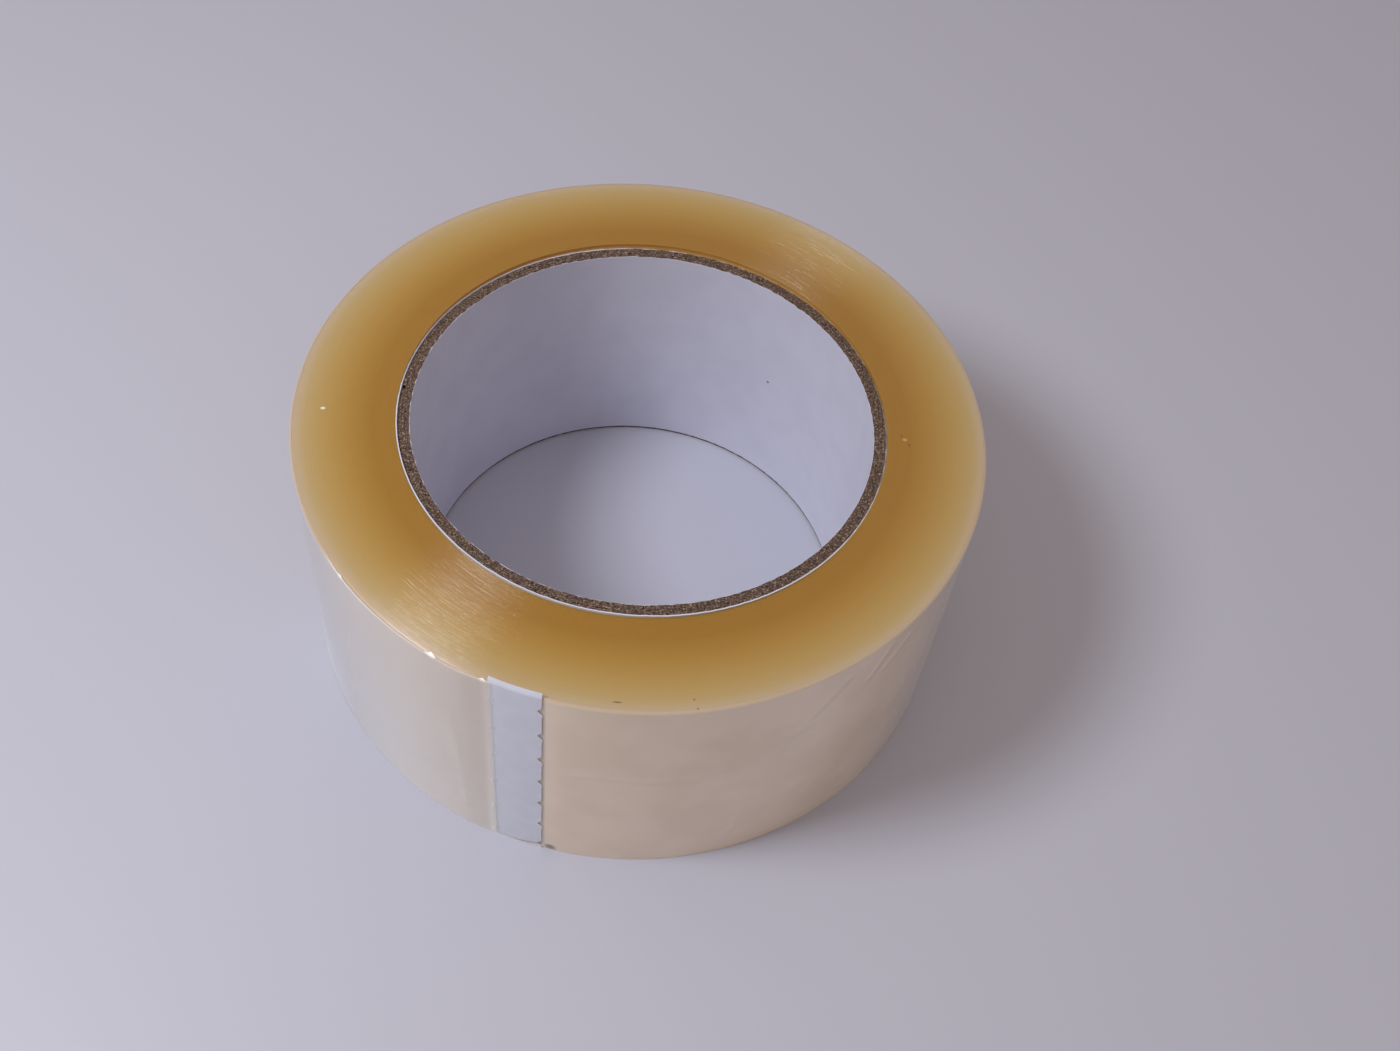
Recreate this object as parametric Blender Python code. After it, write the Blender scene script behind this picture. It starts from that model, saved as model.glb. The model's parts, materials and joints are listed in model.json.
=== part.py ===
"""Roll of clear packing tape: a spiral-wound paper core, wound tape, its last turn and a starter tab.

Metres, +Z up. The roll lies flat: its axis is Z, and its lower side face is at Z = 0. The last turn
winds counter-clockwise, seen from above, and ends at the tab. Its loose end is cut into leaves that
hinge on each other, because the film bends there as it peels off.
"""

import math

import bmesh
import bpy
from mathutils import Vector

MM = 0.001

# Core: paper strips wound one on another round the bore.
BORE_DIAMETER = 76.2 * MM
INNER_LINER_THICKNESS = 0.2 * MM
INNER_PLY_THICKNESS = 0.5 * MM
MIDDLE_PLY_THICKNESS = 0.5 * MM
OUTER_PLY_THICKNESS = 0.5 * MM
OUTER_LINER_THICKNESS = 0.25 * MM
GLUE_LINE = 0.05 * MM
CORE_LIFT = 0.15 * MM
SEAM_LEAD = 109.0 * MM
LINER_BUTT_GAP = 0.4 * MM
PLY_BUTT_GAP = 1.2 * MM

# Angle of each strip's butt seam at the top of the core.
INNER_LINER_SEAM = math.radians(-12.0)
INNER_PLY_SEAM = math.radians(-86.0)
MIDDLE_PLY_SEAM = math.radians(62.0)
OUTER_PLY_SEAM = math.radians(178.0)
OUTER_LINER_SEAM = math.radians(14.0)

# Tape: the wound body and, over it, the last turn of film.
TAPE_WIDTH = 48.0 * MM
WOUND_DIAMETER = 113.0 * MM
CORE_FIT = 0.05 * MM
FILM_THICKNESS = 0.2 * MM
FILM_CLEARANCE = 0.1 * MM
FREE_END_ANGLE = math.radians(-101.2)
TURN_END_GAP = 1.0 * MM

# Loose end: leaves of film, then the tab.
LEAF_COUNT = 5
LEAF_LENGTH = 11.0 * MM
LEAF_GAP = 0.3 * MM
TAB_WIDTH = 8.8 * MM
TAB_PAPER_THICKNESS = 0.25 * MM
TAB_FOOT = 0.3 * MM
TAB_FOLD_RISE = 0.2 * MM
TAB_LIP_LENGTH = 1.2 * MM
TAB_LIP_LEAN = math.radians(50.0)
TOOTH_COUNT = 7
TOOTH_DEPTH = 0.6 * MM

# Facets.
RING_SEGMENTS = 96
FILM_STEP = math.radians(3.75)
SEAM_STEP = math.radians(7.5)
SMOOTH_ANGLE = math.radians(30.0)

WOUND_RADIUS = WOUND_DIAMETER / 2
# The tab's paper lies under the film's free end, so the last turn rises by that much on its way round.
TURN_RISE = TAB_PAPER_THICKNESS + FILM_CLEARANCE
TURN_RADIUS = WOUND_RADIUS + FILM_CLEARANCE + TURN_RISE
TURN_START = FREE_END_ANGLE - 2 * math.pi + TURN_END_GAP / TURN_RADIUS
TAB_HINGE = FREE_END_ANGLE - TAB_WIDTH / TURN_RADIUS
HALF_GAP = LEAF_GAP / 2 / TURN_RADIUS
TOOTH_ROWS = 2 * TOOTH_COUNT


def clear_scene():
    """Removes whatever the file held before."""
    for thing in list(bpy.data.objects):
        bpy.data.objects.remove(thing, do_unlink=True)


def material(name, colour, roughness, alpha=1.0):
    """A Principled material, with its colour in linear RGB."""
    made = bpy.data.materials.new(name)
    made.use_nodes = True
    shader = made.node_tree.nodes["Principled BSDF"]
    shader.inputs["Base Color"].default_value = (*colour, 1.0)
    shader.inputs["Roughness"].default_value = roughness
    shader.inputs["Metallic"].default_value = 0.0
    shader.inputs["Alpha"].default_value = alpha
    return made


def add_object(name, shape, finish=None):
    """Turns a bmesh into a named object, smooth but for its sharp edges."""
    mesh = bpy.data.meshes.new(name)
    shape.to_mesh(mesh)
    shape.free()
    if finish:
        mesh.materials.append(finish)
    mesh.shade_smooth()
    mesh.set_sharp_from_angle(angle=SMOOTH_ANGLE)
    thing = bpy.data.objects.new(name, mesh)
    bpy.context.collection.objects.link(thing)
    return thing


def ring(inner, outer, bottom, top):
    """A turned ring of rectangular section round Z."""
    shape = bmesh.new()
    corners = [(inner, bottom), (outer, bottom), (outer, top), (inner, top)]
    loop = [shape.verts.new((radius, 0.0, height)) for radius, height in corners]
    for first, second in zip(loop, loop[1:] + loop[:1]):
        shape.edges.new((first, second))
    bmesh.ops.spin(
        shape,
        geom=shape.verts[:] + shape.edges[:],
        cent=(0.0, 0.0, 0.0),
        axis=(0.0, 0.0, 1.0),
        angle=2 * math.pi,
        steps=RING_SEGMENTS,
        use_merge=True,
    )
    bmesh.ops.recalc_face_normals(shape, faces=shape.faces[:])
    return shape


def seam_blade(name, inner, outer, bottom, top, seam, gap):
    """A helical blade as wide as the gap between a wound strip's edges, to slit that strip's ring."""
    margin = PLY_BUTT_GAP
    climb = top - bottom + 2 * margin
    sweep = 2 * math.pi * climb / SEAM_LEAD
    first_angle = seam - sweep * (climb - margin) / climb
    steps = math.ceil(sweep / SEAM_STEP)
    shape = bmesh.new()
    middle = (inner + outer) / 2
    reach = (outer - inner) / 2 + margin
    corners = []
    for inward, side in ((1, -1), (-1, -1), (-1, 1), (1, 1)):
        radius = middle - inward * reach
        angle = first_angle + side * gap / 2 / middle
        point = (radius * math.cos(angle), radius * math.sin(angle), bottom - margin)
        corners.append(shape.verts.new(point))
    foot = shape.faces.new(corners)
    bmesh.ops.spin(
        shape,
        geom=[foot],
        cent=(0.0, 0.0, 0.0),
        axis=(0.0, 0.0, 1.0),
        dvec=(0.0, 0.0, climb / steps),
        angle=sweep,
        steps=steps,
    )
    bmesh.ops.recalc_face_normals(shape, faces=shape.faces[:])
    blade = add_object(name, shape)
    blade.hide_render = True
    blade.display_type = "WIRE"
    return blade


def core_strip(name, inner, thickness, seam, gap, finish):
    """One wound strip of the core: a ring, slit by the helical seam where its edges butt."""
    outer = inner + thickness
    bottom = CORE_LIFT
    top = CORE_LIFT + TAPE_WIDTH
    strip = add_object(name, ring(inner, outer, bottom, top), finish)
    slit = strip.modifiers.new("butt seam", "BOOLEAN")
    slit.operation = "DIFFERENCE"
    slit.solver = "EXACT"
    slit.object = seam_blade(name + "_seam_cutter", inner, outer, bottom, top, seam, gap)
    return outer


def build_core():
    """The five strips, from the bore outwards. Returns the core's outer radius."""
    paper = material("white liner paper", (0.62, 0.63, 0.68), 0.75)
    board = material("grey chipboard", (0.13, 0.095, 0.07), 0.9)
    strips = (
        ("core_inner_liner", INNER_LINER_THICKNESS, INNER_LINER_SEAM, LINER_BUTT_GAP, paper),
        ("core_ply_inner", INNER_PLY_THICKNESS, INNER_PLY_SEAM, PLY_BUTT_GAP, board),
        ("core_ply_middle", MIDDLE_PLY_THICKNESS, MIDDLE_PLY_SEAM, PLY_BUTT_GAP, board),
        ("core_ply_outer", OUTER_PLY_THICKNESS, OUTER_PLY_SEAM, PLY_BUTT_GAP, board),
        ("core_outer_liner", OUTER_LINER_THICKNESS, OUTER_LINER_SEAM, LINER_BUTT_GAP, paper),
    )
    inner = BORE_DIAMETER / 2
    for name, thickness, seam, gap, finish in strips:
        outer = core_strip(name, inner, thickness, seam, gap, finish)
        inner = outer + GLUE_LINE
    return outer


def film_radius(angle):
    """Inner radius of the last turn, which rises evenly from its start to its free end."""
    share = (angle - TURN_START) / (FREE_END_ANGLE - TURN_START)
    return WOUND_RADIUS + FILM_CLEARANCE + TURN_RISE * share


def hinge_point(angle):
    """A hinge's place at the foot of the film: on its outer face, so that the leaf swings clear."""
    radius = film_radius(angle) + FILM_THICKNESS
    return Vector((radius * math.cos(angle), radius * math.sin(angle), 0.0))


def tooth(share):
    """How far the torn edge stands back at a share of its height: a row of notches, one a tooth."""
    return TOOTH_DEPTH * abs(math.sin(math.pi * TOOTH_COUNT * share))


def sheet(name, start, end, rows, place, thickness, finish, origin):
    """A grid bent round the roll and thickened outwards.

    place gives a point for an angle and a share of the height. The object's origin is at origin.
    """
    columns = max(1, math.ceil((end - start) / FILM_STEP - 1e-6))
    shape = bmesh.new()
    bmesh.ops.create_grid(shape, x_segments=columns, y_segments=rows, size=0.5)
    for vert in shape.verts:
        angle = start + (vert.co.x + 0.5) * (end - start)
        vert.co = place(angle, vert.co.y + 0.5) - origin
    thing = add_object(name, shape, finish)
    wall = thing.modifiers.new("thickness", "SOLIDIFY")
    wall.thickness = thickness
    wall.offset = 1.0
    wall.use_even_offset = True
    return thing


def on_film(angle, share):
    """A point of the last turn's inner face."""
    radius = film_radius(angle)
    return Vector((radius * math.cos(angle), radius * math.sin(angle), TAPE_WIDTH * share))


def toothed(angle, share):
    """Draws the free end's angle back by the torn edge's notches, and leaves any other as it is."""
    if angle < FREE_END_ANGLE - 1e-6:
        return angle
    return angle - tooth(share) / TURN_RADIUS


def on_tab_film(angle, share):
    """A point of the film over the tab, which ends at the torn edge."""
    return on_film(toothed(angle, share), share)


def on_tab_paper(angle, share):
    """A point of the tab's paper: upright in all rows but the last, which is turned in over the rim."""
    upright = TOOTH_ROWS / (TOOTH_ROWS + 1)
    climb = min(1.0, share / upright)
    past = TAB_LIP_LENGTH * max(0.0, share - upright) / (1 - upright)
    angle = toothed(angle, climb)
    radius = WOUND_RADIUS + FILM_CLEARANCE - past * math.sin(TAB_LIP_LEAN)
    fold = TAPE_WIDTH + TAB_FOLD_RISE
    height = TAB_FOOT + climb * (fold - TAB_FOOT) + past * math.cos(TAB_LIP_LEAN)
    return Vector((radius * math.cos(angle), radius * math.sin(angle), height))


def hinge_empty(name, point, parent):
    """An empty on a hinge's axis, carrying what turns about it."""
    empty = bpy.data.objects.new(name, None)
    empty.empty_display_size = TAB_WIDTH
    bpy.context.collection.objects.link(empty)
    empty.parent = parent
    empty.location = point
    if parent:
        bpy.context.view_layer.update()
        empty.location = point - parent.matrix_world.translation
    return empty


def build_tape(core_radius):
    """The wound body, the last turn round it, the leaves of its loose end, and the tab."""
    amber = material("wound clear tape", (0.36, 0.2, 0.06), 0.35)
    clear = material("clear film", (0.75, 0.68, 0.58), 0.2, alpha=0.4)
    white = material("white tab paper", (0.45, 0.45, 0.52), 0.6)

    add_object("wound_tape", ring(core_radius + CORE_FIT, WOUND_RADIUS, 0.0, TAPE_WIDTH), amber)

    hinges = [TAB_HINGE - count * LEAF_LENGTH / TURN_RADIUS for count in range(LEAF_COUNT, -1, -1)]
    wrap = sheet(
        "outer_wrap", TURN_START, hinges[0] - HALF_GAP, 1, on_film, FILM_THICKNESS, clear, Vector()
    )

    carrier = None
    for number, (start, end) in enumerate(zip(hinges, hinges[1:]), start=1):
        carrier = hinge_empty(f"peel_axis_{number}", hinge_point(start), carrier)
        leaf = sheet(
            f"film_leaf_{number}",
            start + HALF_GAP,
            end - HALF_GAP,
            1,
            on_film,
            FILM_THICKNESS,
            clear,
            hinge_point(start),
        )
        leaf.parent = carrier

    carrier = hinge_empty("tab_axis", hinge_point(TAB_HINGE), carrier)
    first = TAB_HINGE + HALF_GAP
    film = sheet(
        "tab_film",
        first,
        FREE_END_ANGLE,
        TOOTH_ROWS,
        on_tab_film,
        FILM_THICKNESS,
        clear,
        hinge_point(TAB_HINGE),
    )
    film.parent = carrier
    paper = sheet(
        "starter_tab",
        first,
        FREE_END_ANGLE,
        TOOTH_ROWS + 1,
        on_tab_paper,
        TAB_PAPER_THICKNESS,
        white,
        hinge_point(TAB_HINGE),
    )
    paper.parent = carrier
    return wrap, film


def least_gap(first, second):
    """Least distance between the corner points of two objects."""
    bpy.context.view_layer.update()
    ones = [first.matrix_world @ vert.co for vert in first.data.vertices]
    others = [second.matrix_world @ vert.co for vert in second.data.vertices]
    return min((one - other).length for one in ones for other in others)


def main():
    """Builds the roll and prints how near the last turn's two ends come."""
    clear_scene()
    core_radius = build_core()
    wrap, film = build_tape(core_radius)
    print(f"least gap of the last turn to itself: {least_gap(wrap, film) / MM:.2f} mm")


main()
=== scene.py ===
"""Looks of a roll of clear packing tape: paper core, wound tape, its last turn and a starter tab.

Metres, +Z up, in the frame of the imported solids: the roll's axis is Z and its lower side face is at
Z = 0. An angle is measured round the axis from +X. The last turn's angle runs on past a full circle,
from its start up to its free end, so that it grows steadily along the film.
"""

import json
import logging
import math
from dataclasses import dataclass
from enum import Enum
from functools import partial
from typing import Callable

import bmesh
import bpy
from bmesh.types import BMesh, BMVert
from bpy.types import Material, Node, NodeSocket, NodeTree, Object
from mathutils import Matrix, Vector, noise
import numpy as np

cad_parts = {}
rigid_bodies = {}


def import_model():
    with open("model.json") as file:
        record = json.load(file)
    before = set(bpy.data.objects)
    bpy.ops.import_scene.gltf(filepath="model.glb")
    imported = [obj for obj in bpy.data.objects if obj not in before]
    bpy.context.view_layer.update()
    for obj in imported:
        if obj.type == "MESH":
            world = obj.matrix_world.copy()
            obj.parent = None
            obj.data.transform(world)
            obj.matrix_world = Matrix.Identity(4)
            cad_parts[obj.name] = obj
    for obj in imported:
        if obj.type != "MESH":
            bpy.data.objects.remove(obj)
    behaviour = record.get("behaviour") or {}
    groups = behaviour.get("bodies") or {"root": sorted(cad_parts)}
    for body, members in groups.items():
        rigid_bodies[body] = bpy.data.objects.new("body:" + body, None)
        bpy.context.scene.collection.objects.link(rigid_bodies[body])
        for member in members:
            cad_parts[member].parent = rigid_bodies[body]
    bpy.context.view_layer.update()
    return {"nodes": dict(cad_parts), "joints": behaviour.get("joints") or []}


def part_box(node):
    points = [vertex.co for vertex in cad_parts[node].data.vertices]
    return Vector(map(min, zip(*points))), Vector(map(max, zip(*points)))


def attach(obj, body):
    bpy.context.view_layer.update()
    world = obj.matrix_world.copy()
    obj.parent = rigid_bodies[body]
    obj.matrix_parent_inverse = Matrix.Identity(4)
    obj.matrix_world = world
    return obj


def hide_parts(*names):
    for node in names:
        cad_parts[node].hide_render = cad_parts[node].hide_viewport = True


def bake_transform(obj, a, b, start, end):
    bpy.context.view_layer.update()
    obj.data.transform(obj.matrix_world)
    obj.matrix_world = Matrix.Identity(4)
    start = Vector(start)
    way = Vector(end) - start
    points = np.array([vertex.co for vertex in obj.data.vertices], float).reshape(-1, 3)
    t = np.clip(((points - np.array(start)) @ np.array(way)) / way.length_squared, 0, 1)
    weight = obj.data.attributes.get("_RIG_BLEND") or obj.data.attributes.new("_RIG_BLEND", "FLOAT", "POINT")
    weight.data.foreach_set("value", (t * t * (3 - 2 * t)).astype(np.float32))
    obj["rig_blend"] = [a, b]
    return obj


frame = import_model()

LOG = logging.getLogger("tape_roll")

MM = 0.001
FULL_TURN = 2 * math.pi
SHARP_ANGLE = math.radians(35)
# A length or share too small to count.
TINY = 1e-6

# Inputs of the Mix node, which shares its names among several kinds of value.
MIX_FACTOR, MIX_FLOAT_A, MIX_FLOAT_B, MIX_A, MIX_B = 0, 2, 3, 6, 7
# Values of a noise at which a cloudy tone is darkest and palest.
CLOUD_DIM, CLOUD_PALE = 0.35, 0.6
# What the film's mesh says at each point: the air under it, its veil, and how loose it is.
FILM_LAYERS = ("air", "veil", "free")
# The tape's colours, which the film over it shares: the wall, its darker clouds, and the rim.
WALL, WALL_SHADE, RIM = "#EED9BF", "#E7D1B5", "#BAA68E"
# The tab paper's lower edge: its height at the hinge, and how far it rises up to the free end.
TAB_FOOT, TAB_FOOT_RISE = 0.2 * MM, 1.1 * MM

Pair = tuple[float, float]
Triple = tuple[float, float, float]
Place = Callable[[float, float], Vector]
Feed = Node | NodeSocket
# Adds a node to one tree: add_node with its tree given.
Add = Callable[..., Node]


class FilmState(Enum):
    """How a stretch of film lies on the roll."""

    STUCK = "stuck"
    LOOSE = "loose"
    OVER_TAB = "over tab"


class FilmFace(Enum):
    """Which of the film's materials a face of it has, by number."""

    FLAT = 0
    SLIT = 1
    JOINT = 2


def linear(code: str) -> tuple[float, float, float, float]:
    """Turns an sRGB colour into the linear colour that a shader takes.

    Args:
        code: The colour as #RRGGBB.

    Returns:
        Linear red, green, blue and an alpha of 1.
    """
    shares = [int(code[first : first + 2], 16) / 255 for first in (1, 3, 5)]
    lights = [s / 12.92 if s <= 0.04045 else ((s + 0.055) / 1.055) ** 2.4 for s in shares]
    return (*lights, 1.0)


def per(size: float) -> float:
    """Noise scale on Object coordinates whose features are about this many metres across."""
    return 1.0 / size


def smoothstep(value: float, low: float, high: float) -> float:
    """Eases from 0 at low to 1 at high, in either direction."""
    share = min(1.0, max(0.0, (value - low) / (high - low)))
    return share * share * (3 - 2 * share)


def unit_noise(place: Vector) -> float:
    """Smooth noise at a point, from about 0 to about 1."""
    return 0.5 + 0.5 * noise.noise(place)


def tab_foot(along: float) -> float:
    """Height of the tab paper's lower edge at a share of its width from the hinge."""
    return TAB_FOOT + TAB_FOOT_RISE * along * along


def on_circle(radius: float, angle: float, height: float) -> Vector:
    """The point at a radius, angle and height round the roll's axis."""
    return Vector((radius * math.cos(angle), radius * math.sin(angle), height))


def add_node(tree: NodeTree, kind: str, inputs: dict | None = None, **settings) -> Node:
    """Adds a node with its settings, values and links.

    Args:
        tree: The material's or world's node tree.
        kind: Blender's name of the node, without the ShaderNode that it starts with.
        inputs: For each input, by name or number, a value, or the output or node that feeds it. A node
            feeds it through the first of its outputs that is in use.
        settings: Properties of the node; stops gives a colour ramp's (place, #RRGGBB) pairs.

    Returns:
        The new node.
    """
    node = tree.nodes.new("ShaderNode" + kind)
    for name, value in settings.items():
        if name == "stops":
            elements = node.color_ramp.elements
            while len(elements) < len(value):
                elements.new(1.0)
            for element, (place, code) in zip(elements, value):
                element.position = place
                element.color = linear(code)
        else:
            setattr(node, name, value)
    for key, value in (inputs or {}).items():
        if isinstance(value, Node):
            value = next(output for output in value.outputs if output.enabled)
        if isinstance(value, NodeSocket):
            tree.links.new(value, node.inputs[key])
        else:
            node.inputs[key].default_value = value
    return node


def round_axis(add: Add, here: Feed) -> tuple[Node, Node]:
    """Adds the distance from the roll's axis, and the unit vector out from it.

    Args:
        add: Adds a node to the material.
        here: Object coordinates.

    Returns:
        The nodes of the distance and of the vector.
    """
    flat = add("VectorMath", {0: here, 1: (1.0, 1.0, 0.0)}, operation="MULTIPLY")
    radius = add("VectorMath", {0: flat}, operation="LENGTH")
    bearing = add("VectorMath", {0: flat}, operation="NORMALIZE")
    return radius, bearing


def wound_noise(
    add: Add, bearing: Feed, across: Feed, bends: float, pitch: float, detail: float = 3.0
) -> Node:
    """Adds noise drawn out along the winding, without a seam.

    Args:
        add: Adds a node to the material.
        bearing: Unit vector out from the axis.
        across: Length across the winding: the radius, or the height.
        bends: How often the noise changes in one radian along the winding.
        pitch: Size of its features across the winding.
        detail: How many finer layers it has.

    Returns:
        The noise's node.
    """
    scaled = add("Math", {0: across, 1: per(pitch)}, operation="MULTIPLY")
    lift = add("CombineXYZ", {"Z": scaled})
    spread = {0: bearing, 1: (bends, bends, 0.0), 2: lift}
    where = add("VectorMath", spread, operation="MULTIPLY_ADD")
    return add("TexNoise", {"Vector": where, "Scale": 1.0, "Detail": detail})


def add_piece(name: str, shape: BMesh, *materials: Material) -> Object:
    """Turns a bmesh into an object at the origin, smooth but for its sharp edges.

    Args:
        name: The piece's name.
        shape: Its mesh, which is freed.
        materials: Its materials, in the order of its faces' material numbers.

    Returns:
        The piece, linked to the scene.
    """
    mesh = bpy.data.meshes.new(name)
    shape.to_mesh(mesh)
    shape.free()
    for material in materials:
        mesh.materials.append(material)
    mesh.shade_smooth()
    mesh.set_sharp_from_angle(angle=SHARP_ANGLE)
    piece = bpy.data.objects.new(name, mesh)
    bpy.context.scene.collection.objects.link(piece)
    return piece


def settle(piece: Object, body: str, slot: str, *nodes: str) -> None:
    """Lets a rigid piece ride on a body, and logs it.

    Args:
        piece: The piece.
        body: The body.
        slot: The record's material slot; not used.
        nodes: The CAD nodes that the piece stands for.
    """
    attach(piece, body)
    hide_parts(*nodes)
    LOG.info("%s rides on %s", piece.name, body)


def bent_sheet(columns: int, rows: int, place: Place, thickness: float) -> BMesh:
    """A grid laid on a curved face and thickened behind it.

    Args:
        columns: Faces along the first share.
        rows: Faces along the second share.
        place: The outer face's point for two shares from 0 to 1.
        thickness: How far the inner face lies behind the outer one.

    Returns:
        The closed sheet.
    """
    shape = bmesh.new()
    bmesh.ops.create_grid(shape, x_segments=columns, y_segments=rows, size=0.5)
    for vert in shape.verts:
        vert.co = place(vert.co.x + 0.5, vert.co.y + 0.5)
    shape.normal_update()
    bmesh.ops.solidify(shape, geom=shape.faces[:], thickness=thickness)
    shape.normal_update()
    return shape


@dataclass(frozen=True)
class RollFrame:
    """Sizes and places of the roll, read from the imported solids."""

    wound_radius: float
    winding_start: float
    width: float
    core_bottom: float
    core_top: float
    turn_start: float
    turn_radius: float
    turn_rise: float
    free_end: float
    hinges: tuple[float, ...]

    @classmethod
    def read(cls) -> "RollFrame":
        """Reads the frame's nodes and joints.

        Returns:
            The roll's sizes.
        """
        core_low, core_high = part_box("core_ply_middle")
        wound_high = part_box("wound_tape")[1]
        wound_spans = [vert.co.xy.length for vert in frame["nodes"]["wound_tape"].data.vertices]
        wrap = min(frame["nodes"]["outer_wrap"].data.vertices, key=lambda vert: vert.co.xy.length)
        last = frame["nodes"]["tab_film"].data.vertices
        hinges = [math.atan2(joint["pos_m"][1], joint["pos_m"][0]) for joint in frame["joints"]]
        turn_start = math.atan2(wrap.co.y, wrap.co.x) - FULL_TURN
        tab_radius = min(vert.co.xy.length for vert in last)
        tab_start = min(math.atan2(vert.co.y, vert.co.x) for vert in last)
        return cls(
            wound_radius=wound_high.x,
            winding_start=min(wound_spans),
            width=wound_high.z,
            core_bottom=core_low.z,
            core_top=core_high.z,
            turn_start=turn_start,
            turn_radius=wrap.co.xy.length,
            turn_rise=(tab_radius - wrap.co.xy.length) / (tab_start - turn_start),
            free_end=max(math.atan2(vert.co.y, vert.co.x) for vert in last),
            hinges=tuple(hinges),
        )

    def film_inner(self, angle: float) -> float:
        """Inner radius of the last turn, which rises along its way round."""
        return self.turn_radius + self.turn_rise * (angle - self.turn_start)

    def along_film(self, angle: float) -> float:
        """The last turn's own angle at a place round the roll, which is up to half a turn from +X."""
        return angle - FULL_TURN if angle > self.free_end else angle


class Finish:
    """A material with one surface, whose inputs each kind of finish works out."""

    name: str

    def make(self) -> Material:
        """Builds the material.

        Returns:
            A node material under the finish's name.
        """
        material = bpy.data.materials.new(self.name)
        material.use_nodes = True
        material.node_tree.nodes.clear()
        add = partial(add_node, material.node_tree)
        add("OutputMaterial", {"Surface": add("BsdfPrincipled", self.surface(add))})
        return material

    def surface(self, add: Add) -> dict:
        """Adds the nodes behind the surface shader and returns its inputs."""
        raise NotImplementedError


@dataclass(frozen=True)
class TabPaper(Finish):
    """Smooth white paper of the starter tab, under clear film: even, with a faint cloudiness."""

    name: str = "white tab paper"
    white: str = "#DCE0EE"
    shade: str = "#D7DBEA"
    mottle: float = 3.0 * MM
    mottle_layers: float = 3.0
    fibre: float = 0.4 * MM
    fibre_layers: float = 2.0
    tooth: float = 0.01 * MM
    tooth_strength: float = 0.5
    roughness: float = 0.55

    def surface(self, add: Add) -> dict:
        """Gives paper its looks.

        Args:
            add: Adds a node to the material.

        Returns:
            Inputs of a nearly flat white, softly clouded, with fine fibres in its bump.
        """
        here = add("TexCoord").outputs["Object"]
        clouds, fibres = [
            add("TexNoise", {"Vector": here, "Scale": per(size), "Detail": layers})
            for size, layers in ((self.mottle, self.mottle_layers), (self.fibre, self.fibre_layers))
        ]
        stops = ((CLOUD_DIM, self.shade), (CLOUD_PALE, self.white))
        relief = {"Height": fibres, "Distance": self.tooth, "Strength": self.tooth_strength}
        return {
            "Base Color": add("ValToRGB", {"Fac": clouds}, stops=stops),
            "Roughness": self.roughness,
            "Normal": add("Bump", relief),
        }


@dataclass(frozen=True)
class LinerPaper(TabPaper):
    """White uncoated paper, calendered on one side: matte, faintly mottled, with short fibres."""

    name: str = "white liner paper"
    white: str = "#CACBDB"
    shade: str = "#C6C7D7"
    mottle: float = 7.0 * MM
    mottle_layers: float = 4.0
    fibre: float = 0.6 * MM
    fibre_layers: float = 3.0
    tooth: float = 0.012 * MM
    tooth_strength: float = 0.6
    roughness: float = 0.8
    speck: str = "#6B6672"
    speck_place: Triple = (22.7 * MM, 30.6 * MM, 25.1 * MM)
    speck_size: float = 0.35 * MM

    def surface(self, add: Add) -> dict:
        """Gives the liner its looks.

        Args:
            add: Adds a node to the material.

        Returns:
            Inputs of paper with one dark speck on the bore's wall.
        """
        inputs = super().surface(add)
        here = add("TexCoord").outputs["Object"]
        away = add("VectorMath", {0: here, 1: self.speck_place}, operation="DISTANCE")
        spot = add("MapRange", {"Value": away, "From Min": self.speck_size, "From Max": self.speck_size / 2})
        tones = {MIX_FACTOR: spot, MIX_A: inputs["Base Color"], MIX_B: linear(self.speck)}
        return inputs | {"Base Color": add("Mix", tones, data_type="RGBA")}


@dataclass(frozen=True)
class Chipboard(Finish):
    """Grey recycled board, seen on its cut edge: matted fibres with dark voids and tan flecks.

    The fibres are drawn twice as coarse as they are, to show.
    """

    name: str = "recycled chipboard"
    tones: tuple[tuple[float, str], ...] = (
        (0.38, "#241B17"),
        (0.46, "#55463E"),
        (0.53, "#55463E"),
        (0.62, "#9A8676"),
    )
    fibre: float = 0.16 * MM
    bends: float = 150.0
    patch: float = 0.35 * MM
    patch_share: float = 0.4
    tooth: float = 0.06 * MM
    roughness: float = 0.95
    shine: float = 0.2

    def surface(self, add: Add) -> dict:
        """Gives board its looks.

        Args:
            add: Adds a node to the material.

        Returns:
            Inputs of speckled board without gloss.
        """
        here = add("TexCoord").outputs["Object"]
        radius, bearing = round_axis(add, here)
        fibres = wound_noise(add, bearing, radius, self.bends, self.fibre)
        patches = add("TexNoise", {"Vector": here, "Scale": per(self.patch)})
        shares = {MIX_FACTOR: self.patch_share, MIX_FLOAT_A: fibres, MIX_FLOAT_B: patches}
        speckle = add("Mix", shares, data_type="FLOAT")
        return {
            "Base Color": add("ValToRGB", {"Fac": speckle}, stops=self.tones),
            "Roughness": self.roughness,
            "Normal": add("Bump", {"Height": fibres, "Distance": self.tooth}),
            "Specular IOR Level": self.shine,
        }


@dataclass(frozen=True)
class Mark:
    """A small mark, a speck on the tape or a painted shadow on the film: its place and half sizes in
    millimetres and degrees, and its colour.

    Its core is the share of its size that has the colour in full.
    """

    radius: float
    angle: float
    height: float
    across: float
    along: float
    colour: str
    core: float = 0.4


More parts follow.
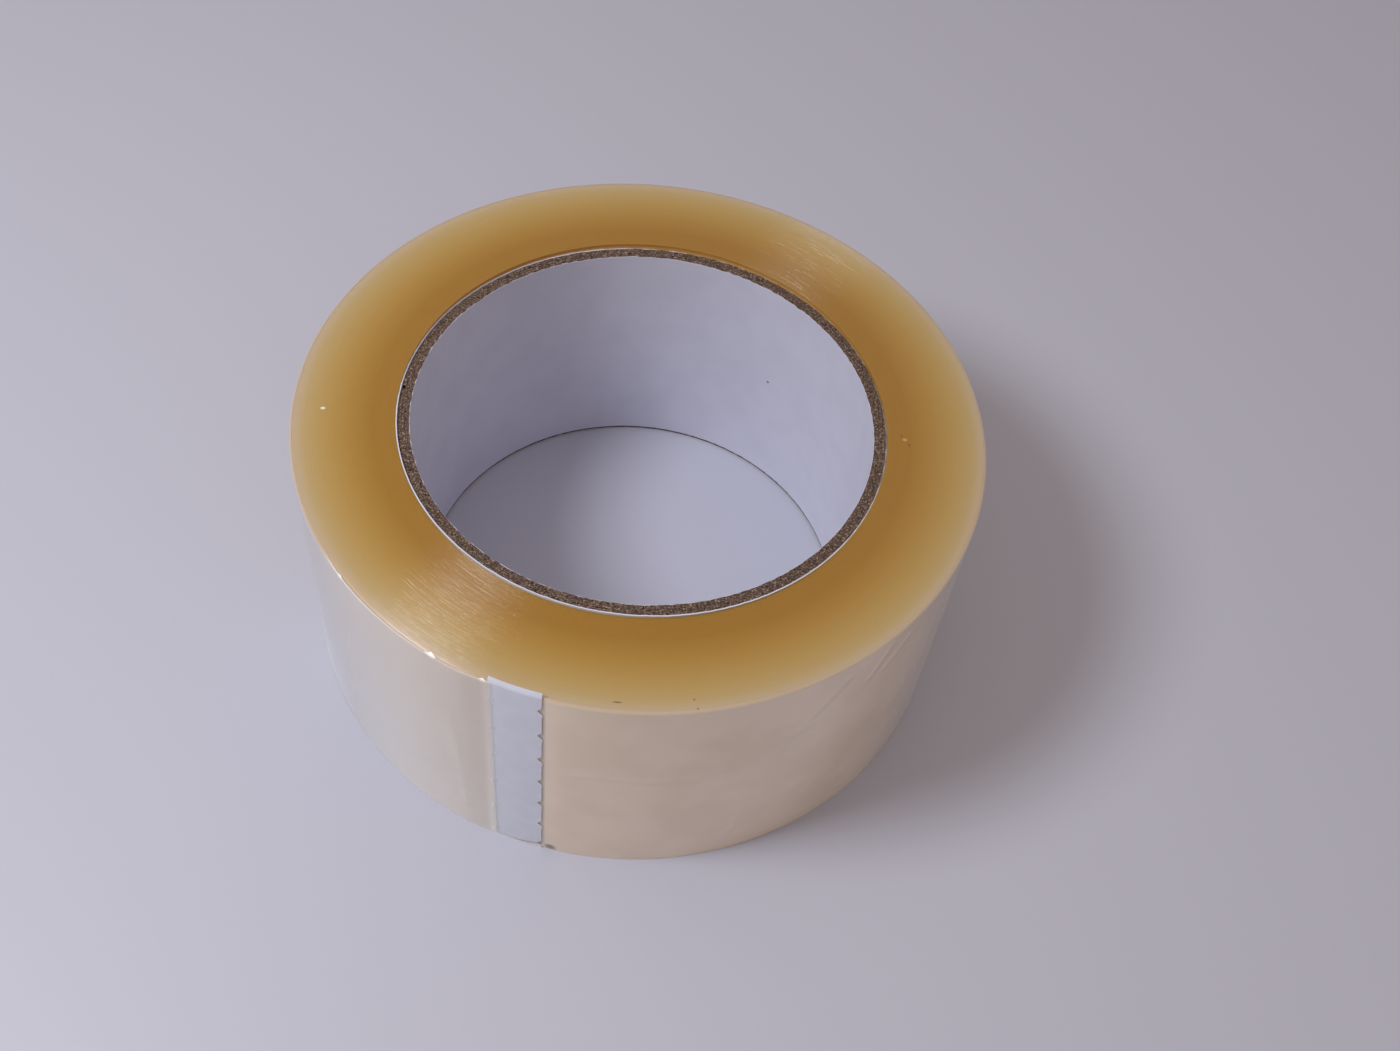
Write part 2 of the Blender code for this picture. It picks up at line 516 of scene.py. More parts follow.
def add_mark(add: Add, here: Feed, colour: Feed, mark: Mark) -> Node:
    """Adds one mark over a colour.

    Args:
        add: Adds a node to the material.
        here: Object coordinates.
        colour: The colour so far.
        mark: The mark, a speck or a painted shadow.

    Returns:
        The node of the colour with the flaw in it.
    """
    spot = {
        "Vector": here,
        "Location": on_circle(mark.radius * MM, math.radians(mark.angle), mark.height * MM),
        "Rotation": (0.0, 0.0, math.radians(mark.angle)),
        "Scale": (mark.across * MM, mark.along * MM, mark.across * MM),
    }
    local = add("Mapping", spot, vector_type="TEXTURE")
    away = add("VectorMath", {0: local}, operation="LENGTH")
    mask = add("MapRange", {"Value": away, "From Min": 1.0, "From Max": mark.core})
    tones = {MIX_FACTOR: mask, MIX_A: colour, MIX_B: linear(mark.colour)}
    return add("Mix", tones, data_type="RGBA")


@dataclass(frozen=True)
class WoundTape(Finish):
    """Clear film and adhesive in many turns: amber where one looks in at the edges, pale on the wall.

    The stacked edges leave fine rings, which draw the light out into two streaks across the face.
    Single turns stand out a little and shine in the streaks as thin lines, which the coat gives.
    """

    roll: RollFrame
    name: str = "wound polypropylene tape"
    depths: tuple[tuple[float, str], ...] = (
        (40.3 * MM, "#966D22"),
        (44.0 * MM, "#986E20"),
        (48.0 * MM, "#A37E36"),
        (52.0 * MM, "#AC8E50"),
        (54.5 * MM, "#B09867"),
        (56.0 * MM, "#B6A182"),
        (56.6 * MM, RIM),
    )
    halfway: float = 0.5
    wall: str = WALL
    wall_shade: str = WALL_SHADE
    inner_wall: str = "#CFA566"
    # Painted shade: the colour that darkens the side faces a little in the grooves between turns.
    painted_groove_shade: str = "#8A6226"
    ring_share: float = 0.04
    ring_pitch: float = 0.26 * MM
    ring_bends: float = 8.0
    ring_relief: float = 0.01 * MM
    ring_strength: float = 0.8
    groove: Pair = (0.42, 0.2)
    ridge: float = 0.62
    streak: float = 9.0 * MM
    streak_bends: float = 4.0
    rim_reach: float = 0.9 * MM
    face_roughness: Pair = (0.33, 0.4)
    line_pitch: float = 0.25 * MM
    line_bends: float = 10.0
    line_relief: float = 0.34 * MM
    line_gloss: float = 0.22
    line_roughness: float = 0.15
    wall_roughness: float = 0.16
    index: float = 1.5
    stretch: float = 1.0
    stretch_turn: float = 0.25
    glow: float = 0.4
    glow_tint: Triple = (1.0, 0.7, 0.4)
    glow_depth: float = 4.0 * MM
    marks: tuple[Mark, ...] = (
        Mark(51.9, -174.8, 48.0, 0.5, 0.35, "#E6E0D8"),
        Mark(43.2, -1.2, 48.0, 0.5, 0.4, "#B99560"),
        Mark(43.9, -2.6, 48.0, 0.3, 0.4, "#7A5522"),
        Mark(42.7, -0.2, 48.0, 0.25, 0.3, "#7A5522"),
        Mark(55.0, -90.5, 48.0, 0.16, 0.9, "#6E5434"),
        Mark(54.6, -78.9, 48.0, 0.2, 0.22, "#7A6040"),
        Mark(56.2, -78.6, 48.0, 0.2, 0.22, "#7A6040"),
    )

    def surface(self, add: Add) -> dict:
        """Gives wound tape its looks.

        Args:
            add: Adds a node to the material.

        Returns:
            Inputs of a satin amber that pales with the radius, ringed on the faces, streaked on the wall.
        """
        here = add("TexCoord").outputs["Object"]
        height = add("SeparateXYZ", {"Vector": here}).outputs["Z"]
        radius, bearing = round_axis(add, here)
        rings = wound_noise(add, bearing, radius, self.ring_bends, self.ring_pitch)
        streaks = wound_noise(add, bearing, height, self.streak_bends, self.streak)
        lines = wound_noise(add, bearing, radius, self.line_bends, self.line_pitch, detail=0.0)

        inner, outer = self.depths[0][0], self.depths[-1][0]
        depth = add("MapRange", {"Value": radius, "From Min": inner, "From Max": outer})
        stops = [((place - inner) / (outer - inner), code) for place, code in self.depths]
        amber = add("ValToRGB", {"Fac": depth}, stops=stops)
        # Painted shade in the grooves: the faces darken a little where the ring noise sinks.
        sunk, deepest = self.groove
        grooves = {"Value": rings, "From Min": sunk, "From Max": deepest, "To Max": self.ring_share}
        painted_groove_mask = add("MapRange", grooves)
        tones = {MIX_FACTOR: painted_groove_mask, MIX_A: amber, MIX_B: linear(self.painted_groove_shade)}
        face = add("Mix", tones, data_type="RGBA")

        stops = ((CLOUD_DIM, self.wall_shade), (CLOUD_PALE, self.wall))
        outer_wall = add("ValToRGB", {"Fac": streaks}, stops=stops)
        outward = add("Math", {0: depth, 1: self.halfway}, operation="GREATER_THAN")
        tones = {MIX_FACTOR: outward, MIX_A: linear(self.inner_wall), MIX_B: outer_wall}
        wall = add("Mix", tones, data_type="RGBA")

        below = add("Math", {0: self.roll.width, 1: height}, operation="SUBTRACT")
        from_rim = add("Math", {0: below, 1: height}, operation="MINIMUM")
        reach = {"Value": from_rim, "From Max": self.rim_reach}
        on_wall = add("MapRange", reach, interpolation_type="SMOOTHSTEP")
        colour = add("Mix", {MIX_FACTOR: on_wall, MIX_A: face, MIX_B: wall}, data_type="RGBA")
        for mark in self.marks:
            colour = add_mark(add, here, colour, mark)

        sleek, matt = self.face_roughness
        ridges = {"Value": rings, "From Min": sunk, "From Max": self.ridge, "To Min": sleek, "To Max": matt}
        ringed = add("MapRange", ridges)
        gloss = {"Value": on_wall, "To Min": ringed, "To Max": self.wall_roughness}
        relief = {"Height": rings, "Distance": self.ring_relief, "Strength": self.ring_strength}
        turned = {"Height": lines, "Distance": self.line_relief}
        lined = {"Value": on_wall, "To Min": self.line_gloss, "To Max": 0.0}
        return {
            "Base Color": colour,
            "Roughness": add("MapRange", gloss),
            "IOR": self.index,
            "Coat Weight": add("MapRange", lined),
            "Coat Roughness": self.line_roughness,
            "Coat Normal": add("Bump", turned),
            "Anisotropic": self.stretch,
            "Anisotropic Rotation": self.stretch_turn,
            "Tangent": add("Tangent", direction_type="RADIAL", axis="Z"),
            "Normal": add("Bump", relief),
            "Subsurface Weight": self.glow,
            "Subsurface Radius": self.glow_tint,
            "Subsurface Scale": self.glow_depth,
        }


@dataclass(frozen=True)
class ClearFilm(Finish):
    """Clear polypropylene film: glossy, one with the tape where it sticks, milky where air is under it.

    Its veil is how much of the light it keeps. Film that sticks can't be told from the turns under
    it, so there it has their colour and a full veil. Loose film lets the roll show through. Its coat
    stands for the gloss of its second face. Towards the rim it takes the side face's colour.
    """

    roll: RollFrame
    name: str = "clear polypropylene film"
    stuck: str = WALL
    stuck_shade: str = WALL_SHADE
    rim: str = RIM
    rim_reach: float = 0.42 * MM
    milky: str = "#F8F6F3"
    patch: float = 12.0 * MM
    patch_span: Pair = (0.4, 0.6)
    roughness: float = 0.16
    gloss_index: float = 1.65
    back_gloss: float = 1.0
    back_roughness: float = 0.1
    # Painted shadow: a dark patch at the foot just past the tab's free end, where the gap under the tab's
    # corner lies in shade.
    painted_foot_shadow: Mark = Mark(56.7, -99.9, 0.8, 1.2, 1.3, "#7F6C5C")

    def surface(self, add: Add) -> dict:
        """Gives the film its looks.

        Args:
            add: Adds a node to the material.

        Returns:
            Inputs of film that reads its veil, and the air under it, from the mesh's attributes.
        """
        here = add("TexCoord").outputs["Object"]
        height = add("SeparateXYZ", {"Vector": here}).outputs["Z"]
        air, veil, free = [add("Attribute", attribute_name=layer).outputs["Fac"] for layer in FILM_LAYERS]
        patches = add("TexNoise", {"Vector": here, "Scale": per(self.patch)})
        stops = tuple(zip(self.patch_span, (self.stuck_shade, self.stuck)))
        wall = add("ValToRGB", {"Fac": patches}, stops=stops)
        tone = add("Mix", {MIX_FACTOR: air, MIX_A: wall, MIX_B: linear(self.milky)}, data_type="RGBA")
        top = self.roll.width
        reach = {"Value": height, "From Min": top - self.rim_reach, "From Max": top}
        near_rim = add("MapRange", reach, interpolation_type="SMOOTHSTEP")
        at_rim = add("MapRange", {"Value": free, "To Min": near_rim, "To Max": 0.0})
        rimmed = add("Mix", {MIX_FACTOR: at_rim, MIX_A: tone, MIX_B: linear(self.rim)}, data_type="RGBA")
        return {
            # The painted shadow at the foot beside the tab's free end goes over the colour.
            "Base Color": add_mark(add, here, rimmed, self.painted_foot_shadow),
            "Roughness": self.roughness,
            "IOR": self.gloss_index,
            "Coat Weight": self.back_gloss,
            "Coat Roughness": self.back_roughness,
            "Alpha": veil,
        }


@dataclass(frozen=True)
class CutFilm(Finish):
    """The film's slit edge: the tape's rim colour where the film sticks, and a near-white painted highlight
    where it stands free.
    """

    name: str = "slit film edge"
    stuck: str = RIM
    # Painted highlight: the near-white colour of the free film's edge, standing in for the light that the
    # edge catches.
    painted_edge_highlight: str = "#F6F3EE"
    roughness: float = 0.2
    full_veil: float = 0.35

    def surface(self, add: Add) -> dict:
        """Gives the slit edge its looks.

        Args:
            add: Adds a node to the material.

        Returns:
            Inputs of an edge with a painted highlight where the film stands free, and else the tape's colour.
        """
        veil, free = [add("Attribute", attribute_name=layer).outputs["Fac"] for layer in FILM_LAYERS[1:]]
        tones = {MIX_FACTOR: free, MIX_A: linear(self.stuck), MIX_B: linear(self.painted_edge_highlight)}
        return {
            "Base Color": add("Mix", tones, data_type="RGBA"),
            "Roughness": self.roughness,
            "Alpha": add("MapRange", {"Value": veil, "From Max": self.full_veil}),
        }


@dataclass(frozen=True)
class FilmJoint(Finish):
    """Nothing to see: the film runs on unbroken from one piece to the next, so its inner ends are clear."""

    name: str = "unbroken film"

    def surface(self, add: Add) -> dict:
        """Inputs of a face that lets all light through."""
        return {"Base Color": linear("#FFFFFF"), "Roughness": 0.2, "Alpha": 0.0}


@dataclass(frozen=True)
class TableTop(Finish):
    """Satin laminate: a pale, even floor that holds a blurred reflection."""

    name: str = "pale satin laminate"
    pale: str = "#B3B5C4"
    roughness: float = 0.42

    def surface(self, add: Add) -> dict:
        """Inputs of an even, satin floor."""
        return {"Base Color": linear(self.pale), "Roughness": self.roughness}


@dataclass(frozen=True)
class Strip:
    """One strip of the core, in millimetres and degrees: the angle and gap of its seam, and its cut ends.

    They fray by ragged. The top is lower than the core's cut by trim, with a skew that is largest at
    most_trimmed, and the foot stands off the table. Either face is moved out by its grow.
    """

    node: str
    slot: str
    seam: float
    butt_gap: float
    ragged: float
    trim: float = 0.0
    trim_skew: float = 0.0
    most_trimmed: float = 0.0
    foot: float = 0.0
    inner_grow: float = 0.0
    outer_grow: float = 0.0


@dataclass
class Core:
    """Spiral-wound paper tube of five strips, each with a helical butt seam, cut off askew at the top."""

    roll: RollFrame
    liner: Material
    board: Material
    seam_lead: float = 109.0 * MM
    columns: int = 480
    rows: int = 40
    ragged_pitch: float = 0.9 * MM
    cut_drop: float = 0.5 * MM
    cut_skew: float = 0.55 * MM
    cut_lowest: float = math.radians(100.0)
    strips: tuple[Strip, ...] = (
        # The inner liner's foot is lifted so that the dark board shows beneath it. This is painted shade
        # along the bore's foot, where the core stands just off the table.
        Strip("core_inner_liner", "liner_paper", -12.0, 0.4, 0.2, trim=0.08, foot=0.4, outer_grow=-0.14),
        Strip("core_ply_inner", "chipboard", -86.0, 1.2, 0.16, inner_grow=0.17),
        Strip("core_ply_middle", "chipboard", 62.0, 1.2, 0.16),
        Strip("core_ply_outer", "chipboard", 178.0, 1.2, 0.16, outer_grow=0.12),
        Strip(
            "core_outer_liner",
            "liner_paper",
            seam=14.0,
            butt_gap=0.4,
            ragged=0.1,
            trim=-0.05,
            trim_skew=0.35,
            most_trimmed=30.0,
            inner_grow=-0.1,
            outer_grow=0.03,
        ),
    )

    def build(self) -> None:
        """Builds the strips, from the bore outwards, in place of their solids."""
        for number, strip in enumerate(self.strips):
            finish = self.board if strip.slot == "chipboard" else self.liner
            shape = self.wind(strip, float(number))
            piece = add_piece("wound_" + strip.node, shape, finish)
            settle(piece, "roll", strip.slot, strip.node)

    def wind(self, strip: Strip, seed: float) -> BMesh:
        """Winds one strip round the bore.

        Args:
            strip: The strip.
            seed: Sets its own pattern of roughness.

        Returns:
            A tube with a helical slit, and with ragged cut ends.
        """
        spans = [vert.co.xy.length for vert in frame["nodes"][strip.node].data.vertices]
        inner, outer = min(spans) - strip.inner_grow * MM, max(spans) + strip.outer_grow * MM
        gap = strip.butt_gap * MM / outer
        height = self.roll.core_top - self.roll.core_bottom

        def place(along: float, up: float) -> Vector:
            """The strip's outer face.

            Args:
                along: Share of the way round from its seam.
                up: Share of its height.

            Returns:
                The point there.
            """
            twist = FULL_TURN * height * (up - 1) / self.seam_lead
            angle = math.radians(strip.seam) + twist + gap / 2 + along * (FULL_TURN - gap)
            grain = Vector((math.cos(angle), math.sin(angle), seed)) * outer / self.ragged_pitch
            fray = strip.ragged * MM * noise.noise(grain)
            low = strip.foot * MM + max(0.0, fray)
            trim = strip.trim + strip.trim_skew * math.cos(angle - math.radians(strip.most_trimmed))
            drop = self.cut_drop + self.cut_skew * math.cos(angle - self.cut_lowest)
            high = height + fray - trim * MM - drop
            return on_circle(outer, angle, self.roll.core_bottom + low + up * (high - low))

        return bent_sheet(self.columns, self.rows, place, outer - inner)


@dataclass
class WoundBody:
    """The turns of tape under the last one: finely ringed side faces and a wall that the film lies on."""

    roll: RollFrame
    tape: Material
    face_rings: int = 96
    wall_rows: int = 12
    steps: int = 360
    ring_pitch: float = 0.45 * MM
    ring_depth: float = 0.012 * MM
    ring_seed: float = 0.5
    rim_round: float = 0.35 * MM
    rim_width: float = 0.5 * MM
    foot_round: float = 0.04 * MM
    bevels: int = 3
    film_gap: float = 0.01 * MM
    rim_reach: float = 1.5 * MM
    slack_span: Pair = (-146.0, -138.0)
    slack_gap: float = 0.45
    tab_clear: Pair = (-113.0, -110.8)
    start_span: Pair = (-101.0, -95.5)
    slack_rim: float = 0.08 * MM

    def build(self) -> None:
        """Builds the body in place of its solid."""
        roll = self.roll
        shape = bmesh.new()
        spans = (roll.winding_start, roll.wound_radius - self.rim_width, roll.wound_radius)
        corners = [(span, 0.0) for span in spans] + [(span, roll.width) for span in reversed(spans)]
        loop = [shape.verts.new((span, 0.0, height)) for span, height in corners]
        lower, _, wall, _, upper, _ = [shape.edges.new(pair) for pair in zip(loop, loop[1:] + loop[:1])]
        bmesh.ops.subdivide_edges(shape, edges=[lower, upper], cuts=self.face_rings)
        bmesh.ops.subdivide_edges(shape, edges=[wall], cuts=self.wall_rows)
        for vert in shape.verts:
            self.press_ring(vert)
        bmesh.ops.spin(
            shape,
            geom=shape.verts[:] + shape.edges[:],
            cent=(0.0, 0.0, 0.0),
            axis=(0.0, 0.0, 1.0),
            angle=FULL_TURN,
            steps=self.steps,
            use_merge=True,
        )
        bmesh.ops.recalc_face_normals(shape, faces=shape.faces[:])
        for height, offset in ((roll.width, self.rim_round), (0.0, self.foot_round)):
            rim = [edge for edge in shape.edges if all(self.at_rim(vert, height) for vert in edge.verts)]
            bmesh.ops.bevel(
                shape, geom=rim, offset=offset, segments=self.bevels, profile=0.5, affect="EDGES", material=-1
            )
        for vert in shape.verts:
            self.swell(vert)
        settle(add_piece("wound_body", shape, self.tape), "roll", "wound_tape", "wound_tape")

    def press_ring(self, vert: BMVert) -> None:
        """Sinks a point of a side face into the grooves between turns.

        Args:
            vert: The point.
        """
        at_top = vert.co.z > self.roll.width - TINY
        at_bottom = vert.co.z < TINY
        inside = self.roll.winding_start + TINY < vert.co.x < self.roll.wound_radius - TINY
        if inside and (at_top or at_bottom):
            depth = self.ring_depth * unit_noise(Vector((vert.co.x / self.ring_pitch, 0.0, self.ring_seed)))
            vert.co.z += -depth if at_top else depth

    def at_rim(self, vert: BMVert, height: float) -> bool:
        """Whether a point is on the outer corner at a height."""
        return abs(vert.co.z - height) < TINY and vert.co.xy.length > self.roll.wound_radius - TINY

    def slack(self, angle: float) -> float:
        """How loose the film is at its own angle, from 0 to 1."""
        return smoothstep(math.degrees(angle), *self.slack_span)

    def swell(self, vert: BMVert) -> None:
        """Brings the wall out to the film where it sticks, and rounds the rim off where it is loose.

        Args:
            vert: A point of the body.
        """
        roll = self.roll
        radius = vert.co.xy.length
        angle = roll.along_film(math.atan2(vert.co.y, vert.co.x))
        slack = self.slack(angle)
        started = smoothstep(math.degrees(angle + FULL_TURN), *self.start_span)
        target = roll.film_inner(angle) - self.film_gap
        under_tab = smoothstep(math.degrees(angle), *self.tab_clear)
        gap = slack * (self.slack_gap + (1 - self.slack_gap) * under_tab)
        out = (target - roll.wound_radius) * (1 - gap) * started
        near_wall = smoothstep(radius, roll.wound_radius - self.rim_reach, roll.wound_radius)
        near_top = smoothstep(vert.co.z, roll.width - self.slack_rim, roll.width)
        inset = self.slack_rim * slack * near_wall * near_top
        vert.co.xy *= (radius + out * near_wall - inset) / radius
        vert.co.z -= inset / 2


@dataclass(frozen=True)
class Crease:
    """A narrow fold in the film along points of an angle and a height, in degrees and millimetres."""

    path: tuple[Pair, ...]
    width: float
    height: float

    def lift(self, angle: float, level: float, radius: float) -> float:
        """How far the fold raises the film at a point of the wall.

        Args:
            angle: The point's angle in degrees.
            level: Its height.
            radius: The wall's radius, to turn angles into lengths.

        Returns:
            The rise.
        """
        nearest = math.inf
        for (first_angle, first_level), (next_angle, next_level) in zip(self.path, self.path[1:]):
            start = Vector((math.radians(first_angle - angle) * radius, first_level * MM - level))
            run = Vector((math.radians(next_angle - angle) * radius, next_level * MM - level)) - start
            share = min(1.0, max(0.0, -start.dot(run) / run.length_squared))
            nearest = min(nearest, (start + share * run).length)
        return self.height * MM * math.exp(-((nearest / (self.width * MM)) ** 2))


@dataclass(frozen=True)
class TornEdge:
    """The free end's edge, cut on a toothed blade: small notches with a tip below each."""

    pitch: float = 7.18 * MM
    first: float = 1.4 * MM
    depth: float = 0.7 * MM
    width: float = 0.6 * MM
    tip: float = 0.2 * MM
    tip_drop: float = 1.0 * MM

    def setback(self, level: float) -> float:
        """How far the edge stands back at a height.

        Args:
            level: Height up the roll.

        Returns:
            The distance behind the film's full length.
        """
        nearest = round((level - self.first) / self.pitch)
        away = level - self.first - nearest * self.pitch
        notch = self.depth * math.exp(-((away / self.width) ** 2))
        tip = self.tip * math.exp(-(((away + self.tip_drop) / self.width) ** 2))
        return self.tip + notch - tip


@dataclass
class LastTurn:
    """The last turn of film: stuck most of the way, then loose, with its end over the starter tab."""

    roll: RollFrame
    film: Material
    cut_edge: Material
    joint: Material
    body: WoundBody
    thickness: float = 0.06 * MM
    standoff: float = 0.02 * MM
    step: float = 0.55 * MM
    rows: int = 80
    edge_set: float = 0.02 * MM
    edge_cover: float = 0.015 * MM
    edge_round: float = 0.4 * MM
    edge_rows: float = 0.15
    edge_band: float = 0.6 * MM
    loose_curl: float = 0.3
    edge_veil: float = 0.15
    most_lift: float = 0.11 * MM
    ripple: float = 0.02 * MM
    ripple_size: Pair = (18.0 * MM, 7.0 * MM)
    start_tuck: float = math.radians(2.8)
    start_climb: float = 1 / 3
    start_rise: float = math.radians(2.0)
    tuck_radius: float = 0.08 * MM
    tab_bend: float = 1.0 * MM
    tab_set: float = 0.2 * MM
    tab_fade: float = 1.1 * MM
    tab_draw: float = 0.27 * MM
    tab_draw_reach: float = math.radians(5.0)
    loose_veil: float = 0.5
    # Painted light: the film grows milkier towards its foot, standing in for the light that the table throws
    # up onto the wall.
    foot_painted_light: float = 0.25
    tab_veil: float = 0.05
    hem_veil: float = 0.85
    side_veil: float = 0.3
    tent_veil: float = 0.2
    tent: float = 0.7 * MM
    corner: float = 1.3 * MM
    nicks: tuple[Pair, ...] = ((-139.2, 0.12 * MM), (-119.3, 0.24 * MM), (-110.7, 0.12 * MM))
    nick_slope: float = 0.28
    nick_lean: float = 1.87
    full_nick: float = 0.12 * MM
    glint_drop: float = 0.6 * MM
    air_rise: Pair = (-178.0, -156.0)
    air_fall: Pair = (-140.0, -112.0)
    air_loss: float = 0.4
    side_rise: Pair = (-138.0, -160.0)
    slit_facing: float = 0.8
    joint_facing: float = 0.3
    torn: TornEdge = TornEdge()
    creases: tuple[Crease, ...] = (
        Crease(((-96.0, 27.4), (-92.2, 28.2), (-84.5, 27.3)), 0.5, 0.07),
        Crease(((-84.5, 27.3), (-76.7, 28.1), (-69.1, 28.6)), 0.5, 0.09),
        Crease(((-69.1, 28.6), (-61.1, 35.4), (-53.6, 44.3)), 0.8, 0.09),
        Crease(((-67.5, 28.0), (-66.5, 33.5), (-64.0, 36.0)), 0.6, 0.09),
        Crease(((-64.0, 30.0), (-62.0, 34.0), (-59.0, 35.0)), 0.6, 0.09),
        Crease(((-69.0, 17.0), (-68.5, 12.0), (-70.0, 6.0)), 0.6, 0.07),
        Crease(((-49.0, 39.5), (-46.7, 43.0), (-45.3, 45.7)), 0.5, 0.1),
        Crease(((-45.5, 39.6), (-43.1, 41.7), (-40.2, 44.3)), 0.5, 0.1),
        Crease(((-116.6, 33.6), (-114.5, 7.0)), 0.8, 0.07),
    )

    def build(self) -> None:
        """Builds the stuck film, then each bend of the loose end, the last a sharp one at the tab's hinge."""
        roll = self.roll
        half_leaf = (roll.hinges[1] - roll.hinges[0]) / 2
        begin = roll.turn_start - self.start_tuck
        wrap = self.stretch("outer_wrap_film", begin, roll.hinges[0] - half_leaf)
        settle(wrap, "roll", "clear_film", "outer_wrap")
        *leaf_hinges, tab_hinge = roll.hinges
        for number, hinge in enumerate(leaf_hinges):
            piece = self.stretch(f"peel_film_{number + 1}", hinge - half_leaf, hinge + half_leaf)
            self.hang(piece, number, half_leaf, f"film_leaf_{number + 1}")
        piece = self.stretch("tab_end_film", tab_hinge - half_leaf, roll.free_end)
        self.hang(piece, len(leaf_hinges), self.tab_bend / roll.film_inner(tab_hinge), "tab_film")

    def hang(self, piece: Object, number: int, reach: float, node: str) -> None:
        """Lets a stretch of film bend at a joint, and logs it.

        Args:
            piece: The stretch.
            number: The joint's place along the film.
            reach: Angle to either side of the joint over which the film bends.
            node: The CAD node that it stands for.
        """
        hinge = self.roll.hinges[number]
        parent, child = frame["joints"][number]["parent"], frame["joints"][number]["child"]
        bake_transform(piece, parent, child, self.on_film(hinge - reach), self.on_film(hinge + reach))
        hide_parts(node)
        LOG.info("%s bends between %s and %s", piece.name, parent, child)

    def on_film(self, angle: float) -> Triple:
        """A point of the film's foot, for its hinges."""
        return tuple(on_circle(self.roll.film_inner(angle), angle, 0.0))

    def state(self, angle: float) -> FilmState:
        """How the film lies at a place.

        Args:
            angle: Angle along the film.

        Returns:
            Its state there.
        """
        if angle > self.roll.hinges[-1] + self.tab_set / self.roll.turn_radius:
            return FilmState.OVER_TAB
        return FilmState.LOOSE if self.body.slack(angle) > 0 else FilmState.STUCK

    def air(self, angle: float) -> float:
        """How much air is under the film at a place.

        Args:
            angle: Angle along the film.

        Returns:
            From 0, none, to 1.
        """
        match self.state(angle):
            case FilmState.OVER_TAB:
                return 1.0
            case FilmState.LOOSE:
                return 1 - self.air_loss * smoothstep(math.degrees(angle), *self.air_fall)
            case FilmState.STUCK:
                return smoothstep(math.degrees(angle), *self.air_rise)

    def veil(self, angle: float, level: float) -> float:
        """How much of the light the film keeps at a place.

        Args:
            angle: Angle along the film.
            level: Height up the roll.

        Returns:
            From 0, clear, to 1.
        """
        radius = self.roll.turn_radius
        past_hinge = (angle - self.roll.hinges[-1]) * radius
        # Milkier towards the foot: painted light from the table below.
        share = self.loose_veil + self.foot_painted_light * (1 - level / self.roll.width)
        share += self.side_veil * smoothstep(math.degrees(angle), *self.side_rise)
        share = min(1.0, share)
        match self.state(angle):
            case FilmState.OVER_TAB:
                from_corner = math.hypot((self.roll.free_end - angle) * radius, level)
                along = past_hinge / ((self.roll.free_end - self.roll.hinges[-1]) * radius)
                foot = tab_foot(along)
                hem = self.hem_veil * smoothstep(level, foot + TAB_FOOT, foot / 2)
                fading = (share + self.tent_veil) * smoothstep(past_hinge, self.tab_fade, self.tab_set)
                return max(self.tab_veil, fading, hem, smoothstep(from_corner, self.corner, 0.0))
            case FilmState.LOOSE:
                to_tab = max(0.0, -past_hinge) / self.tent
                glint = self.edge_veil + self.nick(angle) / self.full_nick
                glint *= smoothstep(level, self.roll.width - self.glint_drop, self.roll.width)
                return min(1.0, share + self.tent_veil * math.exp(-to_tab * to_tab) + glint)
            case FilmState.STUCK:
                return 1 + (share - 1) * smoothstep(math.degrees(angle), *self.air_rise)

    def nick(self, angle: float) -> float:
        """How far the film's upper edge is bent up and inwards at an angle along it."""
        fall = self.nick_slope * self.roll.turn_radius
        return sum(max(0.0, height - abs(angle - math.radians(place)) * fall) for place, height in self.nicks)

    def lift(self, angle: float, level: float) -> float:
        """How far wrinkles raise the film at a place.

        Args:
            angle: Angle along the film.
            level: Height up the roll.

        Returns:
            The rise.
        """
        roll = self.roll
        radius = roll.film_inner(angle)
        degrees = (math.degrees(angle) + 180.0) % 360.0 - 180.0
        raised = sum(crease.lift(degrees, level, radius) for crease in self.creases)
        along, up = self.ripple_size
        raised += self.ripple * unit_noise(Vector((radius * angle / along, level / up, 0.0)))
        return min(self.most_lift, raised)

    def stretch(self, name: str, first: float, last: float) -> Object:
        """Builds a stretch of film between two angles along it.

        Args:
            name: The piece's name.
            first: Angle where it starts.
            last: Angle where it ends. At the film's free end the edge is torn.

        Returns:
            The piece.
        """
        roll = self.roll
        at_end = last > roll.free_end - TINY
        outer = self.standoff + self.thickness
        foot, top = self.edge_set, roll.width + self.edge_cover

        def place(along: float, up: float) -> Vector:
            """The film's outer face.

            Args:
                along: Share of the stretch.
                up: Share of its rows, which are closer together near the upper edge.

            Returns:
                The point there.
            """
            below = self.edge_band * (1 - up) / self.edge_rows
            if up < 1 - self.edge_rows:
                below = top - foot - (top - foot - self.edge_band) * up / (1 - self.edge_rows)
            level = top - below
            setback = self.torn.setback(up * roll.width) if at_end else 0.0
            end = last - setback / roll.film_inner(last)
            angle = first + along * (end - first)
            under_tab = roll.turn_start - self.start_tuck * self.start_climb
            risen = smoothstep(angle, under_tab, roll.turn_start + self.start_rise)
            tucked = roll.wound_radius + self.tuck_radius
            drawn = self.tab_draw * smoothstep(angle, roll.hinges[-1] - self.tab_draw_reach, roll.hinges[-1])
            free = roll.film_inner(angle) + outer + self.lift(angle, level) - drawn
            curl = max(0.0, 1 - below / self.edge_round)
            lean = self.edge_round * (1 - math.sqrt(1 - curl * curl))
            lean *= 1 - (1 - self.loose_curl) * self.body.slack(angle)
            rise = self.nick(angle) if up > 1 - TINY else 0.0
            span = tucked + (free - tucked) * risen - lean - self.nick_lean * rise
            return on_circle(span, angle, level + rise)

        columns = math.ceil((last - first) * roll.wound_radius / self.step)
        shape = bent_sheet(columns, self.rows, place, self.thickness)
        self.mark_air(shape)
        return add_piece(name, shape, self.film, self.cut_edge, self.joint)

